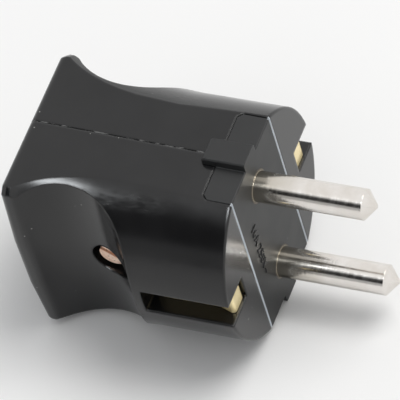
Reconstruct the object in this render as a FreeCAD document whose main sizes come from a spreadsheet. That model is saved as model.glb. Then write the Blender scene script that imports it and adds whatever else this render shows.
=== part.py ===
import FreeCAD, Part
import math
import os
import re
import Sketcher

# Earthed two-pin plug with two half shells, a pin carrier, an earth strip and a cord clamp.
# X points along the pins, Y towards the nut-side shell, Z from the neutral pin to the line pin.
# The origin is the middle of the front face. All sizes are in millimetres.

across_x = FreeCAD.Vector(1, 0, 0)
across_y = FreeCAD.Vector(0, 1, 0)
doc = FreeCAD.newDocument("earthed_plug")
sheet = doc.addObject("Spreadsheet::Sheet", "Sizes")

sizes = (
    ("body_length", "35.8"),
    ("front_radius", "17.85"),
    ("flat_front", "15.65"),
    ("flat_rear", "16.7"),
    ("flange_half", "14.7"),
    ("flange_land", "0.65"),
    ("bulge_tilt", "5.6"),
    ("bulge_flat", "4.5"),
    ("rear_round", "1.2"),
    ("lip_round", "1.5"),
    ("scoop_radius", "10.3"),
    ("scoop_y", "21.2"),
    ("flare_lead", "1.2"),
    ("flare_rise", "0.3"),
    ("knee_lead", "2.75"),
    ("crest_lead", "1.65"),
    ("crest_drop", "0.8"),
    ("crest_trim", "0.6"),
    ("corner_cut", "0.35"),
    ("front_edge", "0.2"),
    ("seam_edge", "0.12"),
    ("shell_wall", "2.2"),
    ("chamber_half", "13.4"),
    ("fit_gap", "0.08"),
    ("plate_half", "8.15"),
    ("plate_thick", "4.85"),
    ("plate_corner", "0.75"),
    ("plate_edge", "0.18"),
    ("rim_half", "9.3"),
    ("rim_thick", "2.2"),
    ("rib_half", "2.1"),
    ("rib_top", "17.2"),
    ("rib_length", "7.1"),
    ("rib_round", "0.9"),
    ("rib_edge", "0.25"),
    ("pin_spacing", "19"),
    ("pin_radius", "2.4"),
    ("pin_length", "19"),
    ("tip_slope", "50"),
    ("tip_flat", "0.3"),
    ("seat_radius", "2.7"),
    ("neck_radius", "2.2"),
    ("head_radius", "3.3"),
    ("head_length", "11.5"),
    ("shoulder_depth", "2"),
    ("web_start", "1.4"),
    ("web_thick", "1.6"),
    ("web_inner", "5.6"),
    ("wire_radius", "1.4"),
    ("wire_depth", "5.6"),
    ("terminal_inset", "3.2"),
    ("slot_half", "2.3"),
    ("slot_floor", "11.8"),
    ("slot_land", "1.22"),
    ("slot_round", "0.3"),
    ("strip_half", "2.2"),
    ("strip_thick", "0.9"),
    ("strip_inset", "0.2"),
    ("strip_face", "15.4"),
    ("nose_inset", "0.5"),
    ("nose_round", "0.6"),
    ("ramp_length", "2"),
    ("leg_drop", "0.7"),
    ("tail_gap", "0.5"),
    ("tail_length", "1.4"),
    ("tail_drop", "0.6"),
    ("washer_side", "6.4"),
    ("washer_thick", "1"),
    ("small_shank", "1.45"),
    ("small_head", "2.3"),
    ("small_head_height", "1.9"),
    ("slot_cut", "0.8"),
    ("terminal_reach", "2.6"),
    ("earth_reach", "3.6"),
    ("clamp_reach", "7"),
    ("screw_offset", "3.4"),
    ("housing_shank", "1.75"),
    ("housing_head", "2.3"),
    ("housing_head_height", "2.2"),
    ("head_inset", "1.15"),
    ("head_turn", "-35"),
    ("bore_radius", "3.2"),
    ("column_wall", "1.9"),
    ("nut_flats", "6.4"),
    ("nut_thick", "2.2"),
    ("inlet_radius", "4.5"),
    ("inlet_flare", "1.2"),
    ("clamp_inset", "6.2"),
    ("clamp_width", "5.2"),
    ("clamp_half", "11.6"),
    ("clamp_thick", "2.4"),
    ("grip_half", "4"),
    ("grip_radius", "4.3"),
    ("post_z", "9.2"),
    ("post_radius", "2.5"),
    ("hole_spare", "0.6"),
    ("cut_margin", "1"),
)
# Sizes that follow from the ones above.
derived = (
    ("lip_run", "=sqrt(pow(scoop_radius + lip_round; 2) - pow(scoop_y - flange_half + lip_round; 2))"),
    ("scoop_x", "=body_length - rear_round - flange_land - lip_run"),
    ("scoop_front", "=scoop_x - sqrt(pow(scoop_radius; 2) - pow(scoop_y - front_radius; 2))"),
    ("flat_slope", "=(flat_rear - flat_front) / body_length"),
    ("bulge_lift", "=bulge_flat * tan(bulge_tilt * 1 deg)"),
    ("bulge_drop", "=flat_rear * tan(bulge_tilt * 1 deg) - bulge_lift"),
    ("waist_y", "=scoop_y - scoop_radius - bulge_drop"),
    ("crest_trimmed", "=sqrt(pow(flange_half - bulge_drop; 2) + pow(flat_rear; 2)) - crest_trim"),
    ("flare_x", "=scoop_front - flare_lead"),
    ("slot_length", "=scoop_front - slot_land"),
    ("leg_end", "=slot_length - tail_gap - tail_length"),
    ("slot_mouth", "=sqrt(pow(front_radius; 2) - pow(slot_half + slot_round; 2))"),
    ("housing_x", "=scoop_x - screw_offset"),
    ("housing_head_top", "=scoop_y - sqrt(pow(scoop_radius; 2) - pow(screw_offset; 2)) - head_inset"),
    ("clamp_x", "=body_length - clamp_inset"),
    ("tip_length", "=(pin_radius - tip_flat) / tan(tip_slope * 1 deg)"),
)
for row, (alias, value) in enumerate(sizes + derived, 1):
    sheet.set("A%d" % row, alias)
    sheet.set("B%d" % row, value)
    sheet.setAlias("B%d" % row, alias)
doc.recompute()


def bound(text):
    # Puts the sheet's name before every size named in an expression.
    return re.sub(r"\b([a-z][a-z_]{4,})\b(?!\()", r"Sizes.\1", text)


def number(text):
    # The present value of an expression, for the first shape of a sketch.
    return float(sheet.evalExpression(bound(text)))


def new_body(label):
    body = doc.addObject("PartDesign::Body", label)
    body.Label = label
    return body


def new_sketch(body, name, role, lift=None):
    # A sketch on one of the body's own origin planes, lifted along the plane's normal.
    plane = [item for item in body.Origin.OriginFeatures if item.Role == role][0]
    sketch = body.newObject("Sketcher::SketchObject", name)
    sketch.AttachmentSupport = [(plane, "")]
    sketch.MapMode = "FlatFace"
    if lift is not None:
        sketch.setExpression("AttachmentOffset.Base.z", bound(lift))
    doc.recompute()
    return sketch


def bind(sketch, constraint, text):
    index = sketch.addConstraint(constraint)
    sketch.setExpression("Constraints[%d]" % index, bound(text))


def pin_point(sketch, item, vertex, across, along):
    # Ties one point of the sketch to two expressions.
    bind(sketch, Sketcher.Constraint("DistanceX", -1, 1, item, vertex, number(across)), across)
    bind(sketch, Sketcher.Constraint("DistanceY", -1, 1, item, vertex, number(along)), along)


def add_outline(sketch, corners):
    # A closed outline. A corner is (across, along), or has a radius and a turn for an arc to the next corner:
    # turn 1 keeps the arc's centre on the left, -1 on the right.
    points = [FreeCAD.Vector(number(corner[0]), number(corner[1]), 0) for corner in corners]
    count = len(corners)
    first = sketch.GeometryCount
    arcs = []
    for index, corner in enumerate(corners):
        start = points[index]
        end = points[(index + 1) % count]
        if len(corner) == 2:
            sketch.addGeometry(Part.LineSegment(start, end), False)
            continue
        radius = number(corner[2])
        chord = end - start
        left = FreeCAD.Vector(-chord.y, chord.x, 0)
        left.normalize()
        inset = math.sqrt(max(radius ** 2 - chord.Length ** 2 / 4, 0))
        middle = (start + end) * 0.5 - left * (corner[3] * (radius - inset))
        arc = Part.Arc(start, middle, end).toShape().Curve
        circle = Part.Circle(arc.Center, FreeCAD.Vector(0, 0, 1), radius)
        begin, finish = (start, end) if corner[3] > 0 else (end, start)
        turn = Part.ArcOfCircle(circle, circle.parameter(begin), circle.parameter(finish))
        arcs.append((sketch.addGeometry(turn, False), corner))

    def vertex_of(index, at_start):
        forward = len(corners[index]) == 2 or corners[index][3] > 0
        return 1 if forward == at_start else 2

    for index in range(count):
        following = (index + 1) % count
        end = vertex_of(index, False)
        start = vertex_of(following, True)
        sketch.addConstraint(Sketcher.Constraint("Coincident", first + index, end, first + following, start))
    for index, corner in enumerate(corners):
        pin_point(sketch, first + index, vertex_of(index, True), corner[0], corner[1])
    for item, corner in arcs:
        bind(sketch, Sketcher.Constraint("Radius", item, number(corner[2])), corner[2])


def add_circle(sketch, across, along, radius):
    centre = FreeCAD.Vector(number(across), number(along), 0)
    circle = Part.Circle(centre, FreeCAD.Vector(0, 0, 1), number(radius))
    item = sketch.addGeometry(circle, False)
    pin_point(sketch, item, 3, across, along)
    bind(sketch, Sketcher.Constraint("Radius", item, number(radius)), radius)


def rectangle(low_across, high_across, low_along, high_along):
    return [
        (low_across, low_along),
        (high_across, low_along),
        (high_across, high_along),
        (low_across, high_along),
    ]


def feature(body, kind, name, sketch, length=None, back=False, both=False):
    # One step of a body: a Pad or a Pocket by its length, a Revolution or a Groove around the first axis.
    before = body.Shape.Volume if body.Tip else 0.0
    step = body.newObject("PartDesign::" + kind, name)
    step.Profile = sketch
    if kind in ("Pad", "Pocket"):
        step.setExpression("Length", bound(length))
        if both:
            step.SideType = "Symmetric"
    else:
        step.ReferenceAxis = (sketch, ["H_Axis"])
        step.Angle = 360
    step.Reversed = back
    doc.recompute()
    gain = body.Shape.Volume - before
    grows = kind in ("Pad", "Revolution")
    if (gain > 1e-6) != grows:
        raise RuntimeError("%s: %s changed the volume by %.4f" % (body.Label, name, gain))
    return step


def close(value, target):
    return abs(value - target) < 0.01


def on_flat(spot):
    return close(abs(spot.z), number("flat_front") - number("flat_slope") * spot.x)


def soften(body, kind, name, size, wanted):
    # Rounds or chamfers the edges on which three spots, near the ends and in the middle, pass the test.
    edges = []
    for index, edge in enumerate(body.Shape.Edges, 1):
        low, high = edge.ParameterRange
        if wanted([edge.valueAt(low + (high - low) * share) for share in (0.1, 0.5, 0.9)]):
            edges.append("Edge%d" % index)
    base = body.Tip
    step = body.newObject("PartDesign::" + kind, name)
    step.Base = (base, edges)
    step.setExpression("Radius" if kind == "Fillet" else "Size", bound(size))
    doc.recompute()
    if not edges or step.Shape.isNull() or step.Shape.Volume >= base.Shape.Volume:
        raise RuntimeError("%s: %s took nothing off" % (body.Label, name))


def add_grip(sketch, sign):
    # What a finger scoop, the lip behind it and the rounded rear edge leave open on one side.
    side = "%d * " % sign
    share = "scoop_radius / (scoop_radius + lip_round)"
    add_outline(sketch, [
        ("scoop_radius - scoop_x", side + "(scoop_y + scoop_radius)"),
        ("scoop_radius - scoop_x", side + "scoop_y", "scoop_radius", -sign),
        ("-scoop_x - lip_run * " + share,
         side + "(scoop_y - (scoop_y - flange_half + lip_round) * %s)" % share, "lip_round", sign),
        ("-scoop_x - lip_run", side + "flange_half"),
        ("-(body_length - rear_round)", side + "flange_half", "rear_round", sign),
        ("-body_length", side + "(flange_half - rear_round)"),
        ("-(body_length + cut_margin)", side + "(flange_half - rear_round)"),
        ("-(body_length + cut_margin)", side + "(scoop_y + scoop_radius)"),
    ])


# Where the flare's straight steps meet, as shares of its curve from the rear to the front.
flare_steps = (0.9, 0.8, 0.7, 0.6, 0.5, 0.4, 0.3, 0.2)


def half_shell(label, sign):
    # One half of the housing, on the side of Y that the sign gives, with every hollow that its pieces need.
    body = new_body(label)
    nut_side = sign > 0
    side = "%d * " % sign

    # Side view: two flats that spread a little towards the rounded rear.
    sketch = new_sketch(body, label + "_side_view", "XZ_Plane")
    add_outline(sketch, [
        ("0", "-flat_front"),
        ("0", "flat_front"),
        ("-(body_length - rear_round)", "flat_rear", "rear_round", 1),
        ("-body_length", "flat_rear - rear_round"),
        ("-body_length", "-(flat_rear - rear_round)", "rear_round", 1),
        ("-(body_length - rear_round)", "-flat_rear"),
    ])
    feature(body, "Pad", label + "_block", sketch, "front_radius + cut_margin", back=nut_side)

    # Round front part. Behind it the turned outline widens along a curve, in short straight steps, and trims
    # the corners of the grip and the flange.
    curve = []
    for share in flare_steps:
        rest = 1 - share
        weights = (rest ** 3, 3 * rest ** 2 * share, 3 * rest * share ** 2, share ** 3)
        curve.append((
            "-(%.6f * flare_x + %.6f * (scoop_x + knee_lead)" % weights[:2]
            + " + %.6f * (scoop_x + lip_run - crest_lead) + %.6f * (scoop_x + lip_run))" % weights[2:],
            "%.6f * front_radius + %.6f * (front_radius + flare_rise)" % weights[:2]
            + " + %.6f * (crest_trimmed - crest_drop) + %.6f * crest_trimmed" % weights[2:]))
    sketch = new_sketch(body, label + "_round_view", "XY_Plane")
    add_outline(sketch, [
        ("cut_margin", "front_radius"),
        ("cut_margin", "front_radius + body_length"),
        ("-(body_length + cut_margin)", "front_radius + body_length"),
        ("-(body_length + cut_margin)", "crest_trimmed - rear_round"),
        ("-body_length", "crest_trimmed - rear_round"),
        ("-(body_length - corner_cut)", "crest_trimmed - corner_cut"),
        ("-(body_length - rear_round)", "crest_trimmed"),
        ("-(scoop_x + lip_run)", "crest_trimmed"),
    ] + curve + [
        ("-flare_x", "front_radius"),
    ])
    feature(body, "Groove", label + "_round", sketch)

    # Finger scoop and rounded flange lip, cut upright and leaning both ways, so that the sides bulge.
    for name, lean in (("upright", 0), ("upper", 1), ("lower", -1)):
        sketch = new_sketch(body, "%s_%s_grip_view" % (label, name), "XY_Plane")
        sketch.AttachmentOffset = FreeCAD.Placement(
            FreeCAD.Vector(0, 0, 0), FreeCAD.Rotation(across_x, sign * lean * number("bulge_tilt")))
        sketch.setExpression("AttachmentOffset.Base.y", bound("%d * bulge_lift" % (sign * abs(lean))))
        add_grip(sketch, sign)
        feature(body, "Pocket", "%s_%s_grip" % (label, name), sketch, "4 * flat_rear", both=True)

    # Softened edges around the front and along the seam of the shells.
    soften(body, "Chamfer", label + "_front_edges", "front_edge",
           lambda spots: all(close(spot.x, 0) for spot in spots) and not close(spots[1].y, 0))
    soften(body, "Chamfer", label + "_seam_edges", "seam_edge",
           lambda spots: all(close(spot.y, 0) for spot in spots) and not close(spots[1].x, 0))

    # Seat of the pin carrier's plate, open to the front, and the groove for its rim.
    sketch = new_sketch(body, label + "_seat_view", "XY_Plane")
    add_outline(sketch, [
        ("cut_margin", side + "-cut_margin"),
        ("cut_margin", side + "(plate_half + fit_gap + plate_edge)"),
        ("0", side + "(plate_half + fit_gap + plate_edge)"),
        ("-plate_edge", side + "(plate_half + fit_gap)"),
        ("-(plate_thick - plate_corner)", side + "(plate_half + fit_gap)"),
        ("-plate_thick", side + "(plate_half + fit_gap - plate_corner)"),
        ("-plate_thick", side + "-cut_margin"),
    ])
    feature(body, "Pocket", label + "_seat", sketch, "4 * flat_rear", both=True)
    sketch = new_sketch(body, label + "_groove_view", "XY_Plane")
    add_outline(sketch, rectangle(
        "-(plate_thick + rim_thick)", "-plate_thick", side + "-cut_margin", side + "(rim_half + fit_gap)"))
    feature(body, "Pocket", label + "_groove", sketch, "2 * (chamber_half + fit_gap)", both=True)

    # Wiring chamber. Two webs reach into the necks of the pins, and a column carries the housing screw.
    sketch = new_sketch(body, label + "_chamber_view", "XZ_Plane")
    front = "-(plate_thick + rim_thick)"
    web_near = "-(plate_thick + rim_thick + web_start)"
    web_far = "-(plate_thick + rim_thick + web_start + web_thick)"
    rear = "-(body_length - shell_wall)"
    add_outline(sketch, [
        (front, "chamber_half"),
        (web_near, "chamber_half"),
        (web_near, "web_inner"),
        (web_far, "web_inner"),
        (web_far, "chamber_half"),
        (rear, "chamber_half"),
        (rear, "-chamber_half"),
        (web_far, "-chamber_half"),
        (web_far, "-web_inner"),
        (web_near, "-web_inner"),
        (web_near, "-chamber_half"),
        (front, "-chamber_half"),
    ])
    add_circle(sketch, "-housing_x", "0", "housing_shank + column_wall")
    if nut_side:
        add_circle(sketch, "-clamp_x", "post_z", "post_radius")
        add_circle(sketch, "-clamp_x", "-post_z", "post_radius")
    feature(body, "Pocket", label + "_chamber", sketch, "waist_y - shell_wall", back=not nut_side)
    neck_near = "-(plate_thick + rim_thick + web_start - fit_gap)"
    sketch = new_sketch(body, label + "_neck_view", "YZ_Plane", neck_near)
    add_circle(sketch, "0", "pin_spacing / 2", "neck_radius + fit_gap")
    add_circle(sketch, "0", "-pin_spacing / 2", "neck_radius + fit_gap")
    feature(body, "Pocket", label + "_necks", sketch, "web_thick + 2 * fit_gap")

    # Earth slot in the round side, with a rounded mouth, and the passage that the strip's bridge takes to it.
    sketch = new_sketch(body, label + "_slot_view", "YZ_Plane", "-slot_length")
    add_outline(sketch, [
        (side + "slot_floor", "slot_half"),
        (side + "(slot_mouth - slot_round)", "slot_half", "slot_round", sign),
        (side + "slot_mouth", "slot_half + slot_round"),
        (side + "(front_radius + cut_margin)", "slot_half + slot_round"),
        (side + "(front_radius + cut_margin)", "-(slot_half + slot_round)"),
        (side + "slot_mouth", "-(slot_half + slot_round)", "slot_round", sign),
        (side + "(slot_mouth - slot_round)", "-slot_half"),
        (side + "slot_floor", "-slot_half"),
    ])
    feature(body, "Pocket", label + "_slot", sketch, "slot_length + cut_margin", back=True)
    sketch = new_sketch(body, label + "_passage_view", "XZ_Plane")
    add_outline(sketch, rectangle(
        "-(plate_thick + rim_thick + strip_thick + fit_gap)", "-(plate_thick + rim_thick)",
        "-(strip_half + fit_gap)", "strip_half + fit_gap"))
    feature(body, "Pocket", label + "_passage", sketch, "slot_floor + strip_thick", back=not nut_side)

    # Hole of the housing screw, with the head's counterbore or the nut's pocket from outside.
    sketch = new_sketch(body, label + "_screw_view", "XZ_Plane")
    add_circle(sketch, "-housing_x", "0", "housing_shank + fit_gap")
    feature(body, "Pocket", label + "_screw_hole", sketch, "front_radius", back=not nut_side)
    seat = "(housing_head_top - housing_head_height)"
    sketch = new_sketch(body, label + "_recess_view", "XZ_Plane", "%d * %s" % (-sign, seat))
    if nut_side:
        add_outline(sketch, hexagon("-housing_x", "(nut_flats + 2 * fit_gap)"))
    else:
        add_circle(sketch, "-housing_x", "0", "bore_radius")
    feature(body, "Pocket", label + "_recess", sketch, "front_radius", back=not nut_side)

    # Cord inlet on the parting plane, with a flared mouth.
    sketch = new_sketch(body, label + "_inlet_view", "XY_Plane")
    add_outline(sketch, [
        ("-(body_length + cut_margin)", "0"),
        ("-(body_length - shell_wall - cut_margin)", "0"),
        ("-(body_length - shell_wall - cut_margin)", "inlet_radius"),
        ("-(body_length - inlet_flare)", "inlet_radius"),
        ("-body_length", "inlet_radius + inlet_flare"),
        ("-(body_length + cut_margin)", "inlet_radius + inlet_flare"),
    ])
    feature(body, "Groove", label + "_inlet", sketch)

    if nut_side:
        # Holes of the cord clamp's screws in their posts.
        sketch = new_sketch(body, label + "_post_view", "XZ_Plane")
        add_circle(sketch, "-clamp_x", "post_z", "small_shank")
        add_circle(sketch, "-clamp_x", "-post_z", "small_shank")
        feature(body, "Pocket", label + "_post_holes", sketch, "clamp_reach - clamp_thick", back=not nut_side)
    return body


def hexagon(across, flats):
    # Corners of a hexagon by its width across flats, two corners along the sketch's first axis.
    corner = "%s / sqrt(3)" % flats
    half = "%s / 2" % flats
    return [
        ("%s + %s" % (across, corner), "0"),
        ("%s + %s / 2" % (across, corner), half),
        ("%s - %s / 2" % (across, corner), half),
        ("%s - %s" % (across, corner), "0"),
        ("%s - %s / 2" % (across, corner), "-" + half),
        ("%s + %s / 2" % (across, corner), "-" + half),
    ]


def pin_carrier(label):
    # Front plate with a rim that the shells hold, and one rib on each flat that reaches back over the shells.
    body = new_body(label)
    sketch = new_sketch(body, label + "_plate_view", "XZ_Plane")
    add_outline(sketch, [
        ("0", "-flat_front"),
        ("0", "flat_front"),
        ("-plate_thick", "flat_front + flat_slope * plate_thick"),
        ("-plate_thick", "-(flat_front + flat_slope * plate_thick)"),
    ])
    feature(body, "Pad", label + "_plate", sketch, "2 * plate_half", both=True)
    half = number("plate_half")
    rear = -number("plate_thick")
    soften(body, "Chamfer", label + "_rear_corners", "plate_corner",
           lambda spots: all(close(abs(spot.y), half) and close(spot.x, rear) for spot in spots))
    soften(body, "Chamfer", label + "_front_edges", "plate_edge",
           lambda spots: all(close(abs(spot.y), half) and close(spot.x, 0) for spot in spots))
    soften(body, "Chamfer", label + "_flat_edges", "seam_edge", lambda spots: all(map(on_flat, spots)))
    sketch = new_sketch(body, label + "_rim_view", "XY_Plane")
    add_outline(sketch, rectangle("-(plate_thick + rim_thick)", "-plate_thick", "-rim_half", "rim_half"))
    feature(body, "Pad", label + "_rim", sketch, "2 * chamber_half", both=True)
    lifted = "(flat_front + flat_slope * rib_length + fit_gap)"
    for name, up, turn in (("upper", "1 * ", 1), ("lower", "-1 * ", -1)):
        sketch = new_sketch(body, label + "_%s_rib_view" % name, "XZ_Plane")
        add_outline(sketch, [
            ("0", up + "(flat_front - cut_margin)"),
            ("0", up + "rib_top"),
            ("-(rib_length - rib_round)", up + "rib_top", "rib_round", turn),
            ("-rib_length", up + "(rib_top - rib_round)"),
            ("-rib_length", up + lifted),
            ("-plate_thick", up + lifted),
            ("-plate_thick", up + "(flat_front - cut_margin)"),
        ])
        feature(body, "Pad", label + "_%s_rib" % name, sketch, "2 * rib_half", both=True)
    width = number("rib_half")
    soften(body, "Chamfer", label + "_rib_edges", "rib_edge", lambda spots: not close(spots[1].x, 0) and all(
        close(abs(spot.y), width) and abs(spot.z) > number("flat_rear") for spot in spots))
    sketch = new_sketch(body, label + "_pin_view", "YZ_Plane")
    add_circle(sketch, "0", "pin_spacing / 2", "seat_radius")
    add_circle(sketch, "0", "-pin_spacing / 2", "seat_radius")
    feature(body, "Pocket", label + "_pin_holes", sketch, "plate_thick + rim_thick + cut_margin")
    sketch = new_sketch(body, label + "_head_view", "YZ_Plane", "-(plate_thick + rim_thick - shoulder_depth)")
    add_circle(sketch, "0", "pin_spacing / 2", "head_radius + fit_gap")
    add_circle(sketch, "0", "-pin_spacing / 2", "head_radius + fit_gap")
    feature(body, "Pocket", label + "_head_seats", sketch, "shoulder_depth + cut_margin")
    sketch = new_sketch(body, label + "_earth_view", "YZ_Plane", "-(plate_thick + rim_thick)")
    add_circle(sketch, "0", "0", "small_shank")
    depth = "earth_reach - washer_thick - strip_thick + hole_spare"
    feature(body, "Pocket", label + "_earth_hole", sketch, depth, back=True)
    return body


def contact_pin(label, sign):
    # Turned pin: a cone tip, a seat in the carrier, a head behind it, a neck for the webs, a wire terminal.
    body = new_body(label)
    sketch = new_sketch(body, label + "_turning", "XZ_Plane")
    shoulder = "-(plate_thick + rim_thick - shoulder_depth)"
    neck_near = "-(plate_thick + rim_thick + web_start - fit_gap)"
    neck_far = "-(plate_thick + rim_thick + web_start + web_thick + fit_gap)"
    end = "-(plate_thick + rim_thick - shoulder_depth + head_length)"
    add_outline(sketch, [
        (end, "0"),
        ("pin_length", "0"),
        ("pin_length", "tip_flat"),
        ("pin_length - tip_length", "pin_radius"),
        ("0", "pin_radius"),
        ("0", "seat_radius"),
        (shoulder, "seat_radius"),
        (shoulder, "head_radius"),
        (neck_near, "head_radius"),
        (neck_near, "neck_radius"),
        (neck_far, "neck_radius"),
        (neck_far, "head_radius"),
        (end, "head_radius"),
    ])
    feature(body, "Revolution", label + "_body", sketch)
    sketch = new_sketch(body, label + "_wire_view", "YZ_Plane", end)
    add_circle(sketch, "0", "0", "wire_radius")
    feature(body, "Pocket", label + "_wire_hole", sketch, "wire_depth", back=True)
    sketch = new_sketch(body, label + "_screw_view", "XZ_Plane")
    add_circle(sketch, end + " + terminal_inset", "0", "small_shank")
    feature(body, "Pocket", label + "_screw_hole", sketch, "head_radius + cut_margin", back=True)
    body.setExpression("Placement.Base.z", bound("%d * pin_spacing / 2" % sign))
    return body


def earth_strip(label):
    # One strip: a bridge behind the carrier, and on each side a leg that folds back at a square nose.
    body = new_body(label)
    near = "-(plate_thick + rim_thick)"
    far = "-(plate_thick + rim_thick + strip_thick)"
    inner = "(slot_floor + strip_inset)"
    bend_x = "-(nose_inset + nose_round)"
    fold_x = "-(nose_inset + strip_thick)"
    ramp_x = "-(nose_inset + nose_round + ramp_length)"
    leg_face = "(strip_face - leg_drop)"
    turn = ("nose_round", 1)
    arm = [
        (near, inner, None),
        (bend_x, inner, turn),
        ("-nose_inset", "(%s + nose_round)" % inner, None),
        ("-nose_inset", "(strip_face - nose_round)", turn),
        (bend_x, "strip_face", None),
        (ramp_x, leg_face, None),
        ("-leg_end", leg_face, None),
        ("-(leg_end + tail_length)", "(%s - tail_drop)" % leg_face, None),
        ("-(leg_end + tail_length)", "(%s - tail_drop - strip_thick)" % leg_face, None),
        ("-leg_end", "(%s - strip_thick)" % leg_face, None),
        (ramp_x, "(%s - strip_thick)" % leg_face, None),
        (fold_x, "(strip_face - strip_thick)", None),
        (fold_x, "(%s + strip_thick)" % inner, None),
        (far, "(%s + strip_thick)" % inner, None),
    ]
    corners = [(across, along) + (turn or ()) for across, along, turn in arm]
    for index in range(len(arm) - 1, -1, -1):
        turn = arm[index - 1][2] if index else None
        corners.append((arm[index][0], "-1 * " + arm[index][1]) + (turn or ()))
    sketch = new_sketch(body, label + "_bend_view", "XY_Plane")
    add_outline(sketch, corners)
    feature(body, "Pad", label + "_bends", sketch, "2 * strip_half", both=True)
    sketch = new_sketch(body, label + "_hole_view", "YZ_Plane", near)
    add_circle(sketch, "0", "0", "small_shank")
    feature(body, "Pocket", label + "_hole", sketch, "strip_thick + cut_margin")
    return body


def slotted_screw(label, shank, reach, head, height):
    # Cheese-head screw along Z. The head's underside is at zero and the shank points down.
    body = new_body(label)
    sketch = new_sketch(body, label + "_head_view", "XY_Plane")
    add_circle(sketch, "0", "0", head)
    feature(body, "Pad", label + "_head", sketch, height)
    sketch = new_sketch(body, label + "_shank_view", "XY_Plane")
    add_circle(sketch, "0", "0", shank)
    feature(body, "Pad", label + "_shank", sketch, reach, back=True)
    sketch = new_sketch(body, label + "_slot_view", "XY_Plane", height)
    half = "(%s + cut_margin)" % head
    add_outline(sketch, rectangle("-" + half, half, "-slot_cut / 2", "slot_cut / 2"))
    feature(body, "Pocket", label + "_slot", sketch, "%s / 2" % height)
    return body


def place(body, axis, degrees, base, turn=0):
    # Tilts a body, moves it to its base, and turns it around its own Z first.
    rotation = FreeCAD.Rotation(axis, degrees).multiply(FreeCAD.Rotation(FreeCAD.Vector(0, 0, 1), turn))
    body.Placement = FreeCAD.Placement(FreeCAD.Vector(0, 0, 0), rotation)
    for letter, text in zip("xyz", base):
        body.setExpression("Placement.Base." + letter, bound(text))


screw_side_shell = half_shell("screw_side_shell", -1)
nut_side_shell = half_shell("nut_side_shell", 1)
carrier = pin_carrier("pin_carrier")
line_pin = contact_pin("line_pin", 1)
neutral_pin = contact_pin("neutral_pin", -1)
strip = earth_strip("earth_strip")

# The terminal screws press the wires in the pin heads. Their heads stand on the screw side.
terminal_x = "-(plate_thick + rim_thick - shoulder_depth + head_length) + terminal_inset"
line_screw = slotted_screw(
    "line_terminal_screw", "small_shank", "terminal_reach", "small_head", "small_head_height")
place(line_screw, across_x, 90, (terminal_x, "-head_radius", "pin_spacing / 2"))
neutral_screw = slotted_screw(
    "neutral_terminal_screw", "small_shank", "terminal_reach", "small_head", "small_head_height")
place(neutral_screw, across_x, 90, (terminal_x, "-head_radius", "-pin_spacing / 2"))

# The earth terminal: a square washer on the strip's bridge, under a screw that holds both to the carrier.
washer = new_body("earth_washer")
sketch = new_sketch(washer, "earth_washer_view", "YZ_Plane", "-(plate_thick + rim_thick + strip_thick)")
add_outline(sketch, rectangle("-washer_side / 2", "washer_side / 2", "-washer_side / 2", "washer_side / 2"))
add_circle(sketch, "0", "0", "small_shank")
feature(washer, "Pad", "earth_washer_plate", sketch, "washer_thick", back=True)
earth_screw = slotted_screw(
    "earth_terminal_screw", "small_shank", "earth_reach", "small_head", "small_head_height")
place(earth_screw, across_y, -90, ("-(plate_thick + rim_thick + strip_thick + washer_thick)", "0", "0"))

# The housing screw and its nut draw the shells together.
seat_y = "(housing_head_top - housing_head_height)"
housing_screw = slotted_screw(
    "housing_screw", "housing_shank", "2 * %s + nut_thick" % seat_y, "housing_head", "housing_head_height")
place(housing_screw, across_x, 90, ("-housing_x", "-" + seat_y, "0"), number("head_turn"))
nut = new_body("housing_nut")
sketch = new_sketch(nut, "housing_nut_view", "XZ_Plane", "-" + seat_y)
add_outline(sketch, hexagon("-housing_x", "nut_flats"))
add_circle(sketch, "-housing_x", "0", "housing_shank")
feature(nut, "Pad", "housing_nut_plate", sketch, "nut_thick", back=True)

# The cord clamp: an arched bridge on two posts of the nut-side shell.
clamp = new_body("cord_clamp")
sketch = new_sketch(clamp, "cord_clamp_view", "YZ_Plane", "-(clamp_x + clamp_width / 2)")
grip_sink = "sqrt(pow(grip_radius; 2) - pow(grip_half; 2))"
shoulder_z = "sqrt(pow(grip_radius + clamp_thick; 2) - pow(clamp_thick + %s; 2))" % grip_sink
add_outline(sketch, [
    ("0", "-clamp_half"),
    ("0", "-grip_half", "grip_radius", -1),
    ("0", "grip_half"),
    ("0", "clamp_half"),
    ("-clamp_thick", "clamp_half"),
    ("-clamp_thick", shoulder_z, "grip_radius + clamp_thick", 1),
    ("-clamp_thick", "-" + shoulder_z),
    ("-clamp_thick", "-clamp_half"),
])
feature(clamp, "Pad", "cord_clamp_bridge", sketch, "clamp_width")
sketch = new_sketch(clamp, "cord_clamp_hole_view", "XZ_Plane")
add_circle(sketch, "-clamp_x", "post_z", "small_shank + fit_gap")
add_circle(sketch, "-clamp_x", "-post_z", "small_shank + fit_gap")
feature(clamp, "Pocket", "cord_clamp_holes", sketch, "clamp_thick + cut_margin", back=True)
clamp_screws = []
for name, up in (("upper_clamp_screw", "post_z"), ("lower_clamp_screw", "-post_z")):
    screw = slotted_screw(name, "small_shank", "clamp_reach", "small_head", "small_head_height")
    place(screw, across_x, 90, ("-clamp_x", "-clamp_thick", up))
    clamp_screws.append(screw)
clamp_screw_pair = doc.addObject("Part::Compound", "cord_clamp_screws")
clamp_screw_pair.Label = "cord_clamp_screws"
clamp_screw_pair.Links = clamp_screws

doc.recompute()

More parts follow.
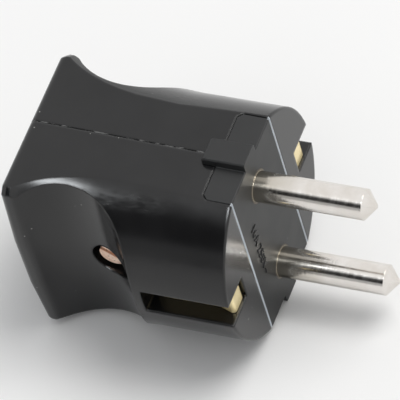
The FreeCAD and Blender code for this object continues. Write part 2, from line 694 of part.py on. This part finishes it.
pieces = [
    screw_side_shell, nut_side_shell, carrier, line_pin, neutral_pin, strip, line_screw, neutral_screw,
    washer, earth_screw, housing_screw, nut, clamp, clamp_screw_pair,
]
for item in doc.Objects:
    if "Invalid" in item.State or "Error" in item.State:
        raise RuntimeError("%s did not build" % item.Label)
os.makedirs("parts", exist_ok=True)
for piece in pieces:
    shape = piece.Shape
    if shape.isNull() or not shape.isValid():
        raise RuntimeError("%s has no valid shape" % piece.Label)
    shape.exportStep("parts/%s.step" % piece.Label)
    print(piece.Label, len(shape.Solids), round(shape.Volume, 2), shape.BoundBox)
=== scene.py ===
import bmesh
import bpy
from mathutils import Matrix, Vector


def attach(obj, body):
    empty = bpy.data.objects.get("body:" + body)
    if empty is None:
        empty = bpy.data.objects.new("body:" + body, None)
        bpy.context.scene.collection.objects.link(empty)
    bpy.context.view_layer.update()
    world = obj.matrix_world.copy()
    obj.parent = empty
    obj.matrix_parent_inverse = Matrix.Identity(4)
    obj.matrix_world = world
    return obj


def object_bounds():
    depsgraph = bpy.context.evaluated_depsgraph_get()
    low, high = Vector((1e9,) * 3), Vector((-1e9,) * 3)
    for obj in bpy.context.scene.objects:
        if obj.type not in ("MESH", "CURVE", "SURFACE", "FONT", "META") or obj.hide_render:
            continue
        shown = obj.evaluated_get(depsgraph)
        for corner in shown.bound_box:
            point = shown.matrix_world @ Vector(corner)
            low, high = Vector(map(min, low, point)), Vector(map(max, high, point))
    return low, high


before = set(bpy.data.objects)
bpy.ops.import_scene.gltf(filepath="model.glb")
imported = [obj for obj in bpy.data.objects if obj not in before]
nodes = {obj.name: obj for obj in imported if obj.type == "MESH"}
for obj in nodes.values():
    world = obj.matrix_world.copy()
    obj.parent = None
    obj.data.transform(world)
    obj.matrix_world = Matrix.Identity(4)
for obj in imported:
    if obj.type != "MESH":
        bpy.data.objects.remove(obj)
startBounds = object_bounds()
scene = bpy.context.scene
mmPerMetre = 1000
print("stage: frame loaded with", len(nodes), "nodes")


def startMaterial(name):
    material = bpy.data.materials.new(name)
    material.use_nodes = True
    tree = material.node_tree
    return material, tree, tree.nodes["Principled BSDF"]


def addNode(tree, kind, inputs=None, **settings):  # inputs are values, or sockets to link from
    node = tree.nodes.new("ShaderNode" + kind)
    for key, value in settings.items():
        setattr(node, key, value)
    for key, value in (inputs or {}).items():
        if isinstance(value, bpy.types.NodeSocket):
            tree.links.new(value, node.inputs[key])
        else:
            node.inputs[key].default_value = value
    return node


def calculate(tree, operation, first, second):
    return addNode(tree, "Math", {0: first, 1: second}, operation=operation).outputs[0]


def absolute(tree, value):
    return addNode(tree, "Math", {0: value}, operation="ABSOLUTE").outputs[0]


def over(tree, value, limit):  # 1 where the value is over the limit
    return calculate(tree, "GREATER_THAN", value, limit)


def under(tree, value, limit):  # 1 where the value is under the limit
    return calculate(tree, "LESS_THAN", value, limit)


def product(tree, *factors):
    result = factors[0]
    for factor in factors[1:]:
        result = calculate(tree, "MULTIPLY", result, factor)
    return result


def span(tree, value, low, high, start=0.3, end=0.7):  # maps start..end, where most noise lies, to low..high
    inputs = {"Value": value, "From Min": start, "From Max": end, "To Min": low, "To Max": high}
    return addNode(tree, "MapRange", inputs, clamp=True).outputs["Result"]


def within(tree, value, limits, fade):  # 1 between the two limits, fading away beyond them
    low, high = limits
    rise = span(tree, value, 0, 1, low - fade, low)
    fall = span(tree, value, 1, 0, high, high + fade)
    return product(tree, rise, fall)


def blendValues(tree, factor, first, second):
    return addNode(tree, "Mix", {0: factor, 2: first, 3: second}).outputs[0]


def blendVectors(tree, factor, first, second):
    return addNode(tree, "Mix", {0: factor, 4: first, 5: second}, data_type="VECTOR").outputs[1]


def blendColours(tree, factor, first, second):
    return addNode(tree, "Mix", {0: factor, 6: first, 7: second}, data_type="RGBA").outputs[2]


def splitVector(tree, vector):  # sockets of x, y and z
    return tuple(addNode(tree, "SeparateXYZ", {0: vector}).outputs)


def splitColour(tree, colour):  # sockets of red, green and blue
    return tuple(addNode(tree, "SeparateColor", {0: colour}).outputs)


def unitVector(tree, x, y, z):
    joined = addNode(tree, "CombineXYZ", {0: x, 1: y, 2: z}).outputs[0]
    return addNode(tree, "VectorMath", {0: joined}, operation="NORMALIZE").outputs[0]


def addRamp(tree, factor, stops):  # stops are shares with colours, the first at 0 and the last at 1
    ramp = addNode(tree, "ValToRGB", {0: factor})
    steps = ramp.color_ramp.elements
    for share, colour in stops[1:-1]:
        steps.new(share).color = colour
    steps[0].color = stops[0][1]
    steps[-1].color = stops[-1][1]
    return ramp.outputs[0]


def millimetres(tree, stretch=(1, 1, 1), shift=0):  # object coordinates in mm, stretched per axis
    spot = addNode(tree, "TexCoord").outputs["Object"]
    scales = [mmPerMetre * part for part in stretch]
    return addNode(tree, "Mapping", {"Vector": spot, "Scale": scales, "Location": [shift] * 3}).outputs[0]


def noise(tree, spot, scale, detail=2.0, roughness=0.55):
    inputs = {"Vector": spot, "Scale": scale, "Detail": detail, "Roughness": roughness}
    return addNode(tree, "TexNoise", inputs).outputs["Fac"]


def specks(tree, spot, scale, share, size):  # 1 inside a few round specks
    cells = addNode(tree, "TexVoronoi", {"Vector": spot, "Scale": scale})
    chance, reach, _ = splitColour(tree, cells.outputs["Color"])
    inside = under(tree, cells.outputs["Distance"], product(tree, reach, size))
    return product(tree, over(tree, chance, 1 - share), inside)


def roundedNormal(tree, look):  # the surface's direction, rounded off along edges
    return addNode(tree, "Bevel", {"Radius": look["edge"]}, samples=look["edgeSamples"]).outputs[0]


def bulgedNormal(tree, place, surface, look):  # evens out the shallow facets of the grip
    along, _, height = place
    x, y, z = splitVector(tree, surface)
    upright = under(tree, absolute(tree, z), look["bulgeReach"])
    onGrip = product(tree, upright, under(tree, along, look["bulgeStart"]))
    lean = blendValues(tree, onGrip, z, product(tree, height, look["bulgeLean"]))
    return unitVector(tree, x, y, lean)


def curveAt(points, share):  # a cubic curve's point at a share of its run, and its direction there
    rest = 1 - share
    spot = []
    way = []
    for a, b, c, d in zip(*points):
        spot.append(rest ** 3 * a + 3 * rest ** 2 * share * b + 3 * rest * share ** 2 * c + share ** 3 * d)
        way.append(rest ** 2 * (b - a) + 2 * rest * share * (c - b) + share ** 2 * (d - c))
    return spot, way


def flareStops(look):  # slope and radius along the flare, whose slope starts from the level round front
    (front, thin), (rear, thick) = look["flare"][0], look["flare"][-1]
    count = look["flareStops"]
    stops = []
    for index in range(count):
        (along, radius), (run, climb) = curveAt(look["flare"], index / (count - 1))
        slope = -climb / run if index else 0
        stops.append(((along - front) / (rear - front), (slope, (radius - thin) / (thick - thin), 0, 1)))
    return stops


def flaredNormal(tree, place, surface, look):  # evens out the straight steps of the flare
    along, y, z = place
    (front, thin), (rear, thick) = look["flare"][0], look["flare"][-1]
    curve = addRamp(tree, span(tree, along, 0, 1, front, rear), flareStops(look))
    slope, growth, _ = splitColour(tree, curve)
    outward = addNode(tree, "CombineXYZ", {1: y, 2: z}).outputs[0]
    radius = addNode(tree, "VectorMath", {0: outward}, operation="LENGTH").outputs["Value"]
    smooth = unitVector(tree, product(tree, radius, slope), y, z)
    miss = calculate(tree, "SUBTRACT", radius, span(tree, growth, thin, thick, 0, 1))
    agree = addNode(tree, "VectorMath", {0: smooth, 1: surface}, operation="DOT_PRODUCT").outputs["Value"]
    upward = absolute(tree, splitVector(tree, surface)[2])
    onFlare = product(
        tree, under(tree, absolute(tree, miss), look["flareMiss"]), over(tree, agree, look["flareAgree"]),
        under(tree, upward, look["flareFlat"]), under(tree, along, front + look["flareLead"]))
    return blendVectors(tree, onFlare, surface, smooth)


bumpDepth = 0.00001  # metres that a full bump stands for


def finishSurface(tree, shader, colour, rough, height, strength, normal):
    tree.links.new(colour, shader.inputs["Base Color"])
    tree.links.new(rough, shader.inputs["Roughness"])
    inputs = {"Strength": strength, "Distance": bumpDepth, "Height": height, "Normal": normal}
    tree.links.new(addNode(tree, "Bump", inputs).outputs[0], shader.inputs["Normal"])


def plasticMaterial(name, look):
    material, tree, shader = startMaterial(name)
    shader.inputs["IOR"].default_value = look["ior"]
    spot = millimetres(tree, shift=look["shift"])
    place = splitVector(tree, millimetres(tree))
    along, aside, height = place
    cloud = noise(tree, spot, look["cloudScale"], detail=3.0)
    colour = blendColours(tree, span(tree, cloud, 0, 1), look["dark"], look["light"])
    rough = span(tree, cloud, look["roughLow"], look["roughHigh"])

    dust = specks(tree, spot, look["dustScale"], look["dustShare"], look["dustSize"])
    dust = product(tree, dust, look["dustStrength"])
    colour = blendColours(tree, dust, colour, look["dustColour"])

    distance = absolute(tree, aside)  # from the plane where the two shells meet
    line = product(  # painted highlight: pale bluish lines where shells and carrier meet on the front face, standing in for light caught by the edges there
        tree, within(tree, distance, look["lineSpan"], look["lineFade"]),
        over(tree, along, look["lineDepth"]), span(tree, cloud, *look["lineHighlightRange"]))
    colour = blendColours(tree, line, colour, look["lineHighlightColour"])

    # painted highlight: pale dashes along the parting line where the two shells meet
    dashes = noise(tree, millimetres(tree, look["seamStretch"], look["shift"]), look["seamScale"], detail=3.0)
    seam = product(tree, under(tree, distance, look["seamHalf"]), span(tree, dashes, 0, 1, *look["seamCut"]))
    colour = blendColours(tree, seam, colour, look["seamHighlightColour"])

    smear = noise(tree, millimetres(tree, look["hazeStretch"], look["shift"]), look["hazeScale"], detail=4.0)
    haze = product(  # handled, duller patches on the shoulder
        tree, within(tree, along, look["hazeAlong"], look["hazeFadeAlong"]),
        within(tree, height, look["hazeUp"], look["hazeFadeUp"]), span(tree, smear, 0, 1, *look["hazeCut"]))
    colour = blendColours(tree, product(tree, haze, look["hazeStrength"]), colour, look["dustColour"])
    rough = blendValues(tree, haze, rough, look["hazeRough"])
    rough = blendValues(tree, dust, rough, look["dustRough"])

    normal = bulgedNormal(tree, place, roundedNormal(tree, look), look)
    if look["flare"]:
        normal = flaredNormal(tree, place, normal, look)
    grain = noise(tree, spot, look["grainScale"])
    finishSurface(tree, shader, colour, rough, grain, look["grainStrength"], normal)
    return material


def atRoot(tree, place, look):  # 1 on the narrow face round a pin where it leaves the carrier, which gets painted shade
    _, y, z = place
    aside = calculate(tree, "SUBTRACT", absolute(tree, z), look["rootHeight"])
    squares = calculate(tree, "ADD", product(tree, aside, aside), product(tree, y, y))
    return over(tree, squares, look["rootRadius"] ** 2)


def metalMaterial(name, look):
    material, tree, shader = startMaterial(name)
    shader.inputs["Metallic"].default_value = look["metallic"]
    streak = noise(tree, millimetres(tree, look["stretch"], look["shift"]), look["streakScale"], detail=3.0)
    stain = noise(tree, millimetres(tree, shift=look["shift"]), look["stainScale"], detail=3.0)
    colour = blendColours(tree, span(tree, stain, 0, 1), look["tint"], look["stain"])
    rough = span(tree, streak, look["roughLow"], look["roughHigh"])
    if "rootShadeColour" in look:
        place = splitVector(tree, millimetres(tree))
        # painted reflection: the dark front face mirrored on each pin, strongest at its base
        paintedReflection = span(tree, place[0], look["paintedReflectionShare"], 0, *look["paintedReflectionSpan"])
        colour = blendColours(tree, paintedReflection, colour, look["paintedReflection"])
        # painted shade on the narrow face round the pin's root
        root = atRoot(tree, place, look)
        colour = blendColours(tree, root, colour, look["rootShadeColour"])
        rough = blendValues(tree, root, rough, look["rootRough"])
    finishSurface(tree, shader, colour, rough, streak, look["streakStrength"], roundedNormal(tree, look))
    return material


def dress(node, material):
    mesh = nodes[node].data
    mesh.materials.clear()
    mesh.materials.append(material)


housing = {  # lengths in mm except edge, which is in metres; shift moves the patterns from piece to piece
    "dark": (0.0055, 0.0055, 0.006, 1), "light": (0.0095, 0.0095, 0.010, 1), "cloudScale": 0.12, "shift": 0,
    "roughLow": 0.14, "roughHigh": 0.22, "ior": 1.47, "grainScale": 5.0, "grainStrength": 0.12,
    "dustColour": (0.42, 0.42, 0.40, 1), "dustScale": 0.9, "dustShare": 0.10, "dustSize": 0.12,
    "dustStrength": 0.5, "dustRough": 0.6,
    # painted highlight lines where shells and carrier meet on the front face
    "lineDepth": -0.25, "lineSpan": (7.98, 8.42), "lineFade": 0.01, "lineHighlightRange": (0.7, 1.0),
    "lineHighlightColour": (0.62, 0.67, 0.72, 1),
    # painted highlight dashes along the parting line of the shells
    "seamHalf": 0.125, "seamStretch": (0.5, 1, 1), "seamScale": 1.3, "seamCut": (0.5, 0.62),
    "seamHighlightColour": (0.20, 0.20, 0.20, 1),
    "hazeAlong": (-23.0, -12.0), "hazeFadeAlong": 4.0, "hazeUp": (14.2, 15.2), "hazeFadeUp": 0.5,
    "hazeStretch": (0.5, 1, 2.2), "hazeScale": 1.1, "hazeCut": (0.4, 0.75), "hazeRough": 0.32,
    "hazeStrength": 0.01,
    "edge": 0.0006, "edgeSamples": 8, "bulgeReach": 0.13, "bulgeStart": -14.5, "bulgeLean": 0.0058,
    "flare": ((-14.336, 17.85), (-28.026, 18.15), (-32.3, 20.077), (-33.95, 20.877)),  # curve: X, radius
    "flareStops": 12, "flareMiss": 0.12, "flareAgree": 0.96, "flareFlat": 0.97, "flareLead": 2.0,
}
dress("screw_side_shell", plasticMaterial("housing_screw_side", housing))
dress("nut_side_shell", plasticMaterial("housing_nut_side", {**housing, "shift": 37}))

innerPlastic = {**housing, "hazeStrength": 0.0, "seamHalf": -1.0, "flare": None}  # no pale haze, painted seam highlight or flare
carrier = {
    **innerPlastic, "shift": 71, "dark": (0.008, 0.0085, 0.009, 1), "light": (0.012, 0.0125, 0.013, 1),
    "roughLow": 0.42, "roughHigh": 0.50, "dustShare": 0.06, "edge": 0.0002,
}
dress("pin_carrier", plasticMaterial("carrier", carrier))

clamp = {
    **innerPlastic, "shift": 93, "dark": (0.12, 0.115, 0.105, 1), "light": (0.19, 0.18, 0.165, 1),
    "roughLow": 0.35, "roughHigh": 0.5, "dustShare": 0.02,
}
dress("cord_clamp", plasticMaterial("clamp", clamp))

pin = {
    "tint": (0.80, 0.77, 0.74, 1), "stain": (0.70, 0.66, 0.61, 1), "stainScale": 0.25, "shift": 0,
    "stretch": (1, 0.2, 0.2), "streakScale": 2.2, "streakStrength": 1.0, "roughLow": 0.12, "roughHigh": 0.22,
    "edge": 0.0001, "edgeSamples": 4, "metallic": 1.0,
}
pinRoot = {  # painted shade on the narrow face round the root of a pin, and a painted reflection of the dark front face that fades away from it along the pin
    "rootHeight": 9.5, "rootRadius": 2.42, "rootShadeColour": (0.16, 0.14, 0.11, 1), "rootRough": 0.5,
    "paintedReflection": (0.42, 0.38, 0.30, 1), "paintedReflectionShare": 0.75, "paintedReflectionSpan": (0.5, 8.0),
}
dress("line_pin", metalMaterial("pin_line", {**pin, **pinRoot}))
dress("neutral_pin", metalMaterial("pin_neutral", {**pin, **pinRoot, "shift": 19}))

strip = {
    **pin, "tint": (0.98, 0.84, 0.50, 1), "stain": (0.92, 0.74, 0.38, 1), "stretch": (1, 1, 1), "shift": 5,
    "roughLow": 0.22, "roughHigh": 0.28, "streakScale": 6.0, "streakStrength": 0.05, "metallic": 0.5,
}
dress("earth_strip", metalMaterial("earth_strip", strip))

housingScrew = {
    **pin, "tint": (0.96, 0.74, 0.60, 1), "stain": (0.78, 0.54, 0.40, 1), "stretch": (1, 1, 1), "shift": 11,
    "stainScale": 0.8, "streakStrength": 0.2, "roughLow": 0.25, "roughHigh": 0.4, "metallic": 0.5,
}
dress("housing_screw", metalMaterial("housing_screw", housingScrew))

smallScrew = {**housingScrew, "tint": (0.85, 0.68, 0.38, 1), "stain": (0.68, 0.50, 0.24, 1), "shift": 23}
steel = {
    **pin, "tint": (0.62, 0.62, 0.61, 1), "stain": (0.48, 0.47, 0.45, 1), "stretch": (1, 1, 1), "shift": 41,
    "streakStrength": 0.2, "roughLow": 0.25, "roughHigh": 0.42,
}
shiftStep = 7
for look, names in (
        (smallScrew, ("line_terminal_screw", "neutral_terminal_screw", "earth_terminal_screw")),
        (steel, ("earth_washer", "housing_nut", "cord_clamp_screws"))):
    for index, node in enumerate(names):
        dress(node, metalMaterial(node, {**look, "shift": look["shift"] + shiftStep * index}))
print("stage: materials given to all nodes")

rating = {  # raised on the front face, in mm: letters run down beside the pins and stand up towards +Y
    "words": "16A 250V~", "size": 2.3, "raised": 0.15, "sunk": 0.05, "along": 0.0, "aside": -4.9,
    "spacing": 1.1, "curveSteps": 3, "shift": 53,
}
mergeWithin = 1e-7  # metres


def addRating(look):
    curve = bpy.data.curves.new("rating", "FONT")
    curve.body = look["words"]
    curve.align_x = "CENTER"
    curve.align_y = "CENTER"
    curve.space_character = look["spacing"]
    curve.size = look["size"]
    curve.extrude = (look["raised"] + look["sunk"]) / 2
    curve.resolution_u = look["curveSteps"]
    holder = bpy.data.objects.new("rating_curve", curve)
    scene.collection.objects.link(holder)
    bpy.context.view_layer.update()
    mesh = bpy.data.meshes.new_from_object(holder.evaluated_get(bpy.context.evaluated_depsgraph_get()))
    bpy.data.objects.remove(holder)
    middle = Vector(((look["raised"] - look["sunk"]) / 2, look["aside"], look["along"]))
    turn = Matrix(((0, 0, 1), (0, 1, 0), (-1, 0, 0))).to_4x4()  # letters' right to -Z, their face to +X
    mesh.transform(Matrix.Scale(1 / mmPerMetre, 4) @ Matrix.Translation(middle) @ turn)
    shape = bmesh.new()
    shape.from_mesh(mesh)
    bmesh.ops.remove_doubles(shape, verts=shape.verts, dist=mergeWithin)
    bmesh.ops.recalc_face_normals(shape, faces=shape.faces)
    print("stage: rating marks with", sum(not edge.is_manifold for edge in shape.edges), "open edges")
    shape.to_mesh(mesh)
    shape.free()
    mesh.materials.clear()
    mesh.materials.append(plasticMaterial("rating", {**carrier, "shift": look["shift"]}))
    marks = bpy.data.objects.new("rating_marks", mesh)
    scene.collection.objects.link(marks)
    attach(marks, "root")


addRating(rating)

paper = {"rough": 0.9, "gloss": 0.0}
sheetCorners = ((-1, -1), (1, -1), (1, 1), (-1, 1))  # in half widths and half heights


def paperMaterial(name):
    material, tree, shader = startMaterial(name)
    shader.inputs["Roughness"].default_value = paper["rough"]
    shader.inputs["Specular IOR Level"].default_value = paper["gloss"]
    return material, tree, shader.inputs["Base Color"]


def addSheet(name, corners, material):  # a plain sheet of the studio
    mesh = bpy.data.meshes.new(name)
    mesh.from_pydata(corners, [], [(0, 1, 2, 3)])
    mesh.materials.append(material)
    sheet = bpy.data.objects.new(name, mesh)
    scene.collection.objects.link(sheet)
    return sheet


floor = {  # sizes in metres
    "size": 6.0, "gap": 0.0001, "pale": (0.90, 0.90, 0.90, 1), "paler": (0.92, 0.92, 0.92, 1), "scale": 0.02,
}


def addFloor(look):
    material, tree, tone = paperMaterial("floor")
    cloud = noise(tree, millimetres(tree), look["scale"])
    tree.links.new(blendColours(tree, cloud, look["pale"], look["paler"]), tone)
    low = startBounds[0][2] - look["gap"]
    half = look["size"] / 2
    addSheet("floor", [(x * half, y * half, low) for x, y in sheetCorners], material)


addFloor(floor)

card = {  # a card beside the viewer, dark across its middle, which the pins and the round sides mirror
    "toward": (-0.30, -0.82, 0.48), "distance": 2.5, "width": 3.4, "height": 2.6,
    "tones": ((0.0, 0.75), (0.31, 0.70), (0.38, 0.02), (0.72, 0.02), (1.0, 1.0)),  # from its foot to its top
}


def addCard(look):
    aim = Vector(look["toward"]).normalized()
    across = aim.cross(Vector((0, 0, 1))).normalized()
    upward = across.cross(aim).normalized()
    middle = aim * look["distance"]
    corners = []
    for side, rise in sheetCorners:
        corners.append(middle + across * side * look["width"] / 2 + upward * rise * look["height"] / 2)
    material, tree, tone = paperMaterial("card")
    height = splitVector(tree, addNode(tree, "TexCoord").outputs["Object"])[2]
    share = span(tree, height, 0, 1, corners[0].z, corners[2].z)
    stops = [(spot, (grey, grey, grey, 1)) for spot, grey in look["tones"]]
    tree.links.new(addRamp(tree, share, stops), tone)
    sheet = addSheet("card", corners, material)
    sheet.visible_camera = False
    sheet.visible_diffuse = False
    sheet.visible_shadow = False


addCard(card)

lamps = {  # direction from the part, and sizes in metres; the strip is there for the gloss alone
    "key_light": {
        "toward": (0.38, 0.27, 0.88), "distance": 1.6, "width": 0.9, "height": 0.9, "watts": 16.0,
        "colour": (1.0, 0.99, 0.97), "lightsDiffuse": True,
    },
    "strip_light": {
        "toward": (0.12, -0.46, 0.87), "distance": 1.2, "width": 0.78, "height": 0.18, "watts": 9.5,
        "colour": (0.93, 0.97, 1.0), "lightsDiffuse": False,
    },
}


def addLamp(name, look):
    data = bpy.data.lights.new(name, "AREA")
    data.shape = "RECTANGLE"
    data.size = look["width"]
    data.size_y = look["height"]
    data.energy = look["watts"]
    data.color = look["colour"]
    lamp = bpy.data.objects.new(name, data)
    scene.collection.objects.link(lamp)
    aim = Vector(look["toward"]).normalized()
    lamp.location = aim * look["distance"]
    lamp.rotation_euler = aim.to_track_quat("Z", "Y").to_euler()
    lamp.visible_diffuse = look["lightsDiffuse"]


for name, look in lamps.items():
    addLamp(name, look)

surround = {"room": (0.55, 0.555, 0.56, 1), "seen": (1.0, 1.0, 1.0, 1)}


def makeSurround(look):  # a white backdrop where it is seen or mirrored, a softer light from it elsewhere
    world = bpy.data.worlds.new("surround")
    scene.world = world
    world.use_nodes = True
    tree = world.node_tree
    path = addNode(tree, "LightPath")
    mirrored = calculate(tree, "MAXIMUM", path.outputs["Is Glossy Ray"], path.outputs["Is Transmission Ray"])
    seen = calculate(tree, "MAXIMUM", path.outputs["Is Camera Ray"], mirrored)
    colour = blendColours(tree, seen, look["room"], look["seen"])
    tree.links.new(colour, tree.nodes["Background"].inputs["Color"])


makeSurround(surround)
scene.view_settings.view_transform = "Standard"
print("stage: floor and lights made")

view = {  # eye in metres, lens and sensor in mm
    "eye": (0.259354, -0.387476, 0.583936), "right": (0.918813, 0.339804, -0.200788),
    "up": (-0.159690, 0.785270, 0.598206), "lens": 447.389, "sensor": 36.0, "near": 0.05, "far": 20.0,
}


def addCamera(look):
    lens = bpy.data.cameras.new("camera")
    lens.sensor_width = look["sensor"]
    lens.lens = look["lens"]
    lens.clip_start = look["near"]
    lens.clip_end = look["far"]
    camera = bpy.data.objects.new("camera", lens)
    scene.collection.objects.link(camera)
    right = Vector(look["right"]).normalized()
    back = right.cross(Vector(look["up"])).normalized()
    up = back.cross(right)
    turn = Matrix((right, up, back)).transposed().to_4x4()
    camera.matrix_world = Matrix.Translation(look["eye"]) @ turn
    scene.camera = camera


addCamera(view)
print("stage: camera set")
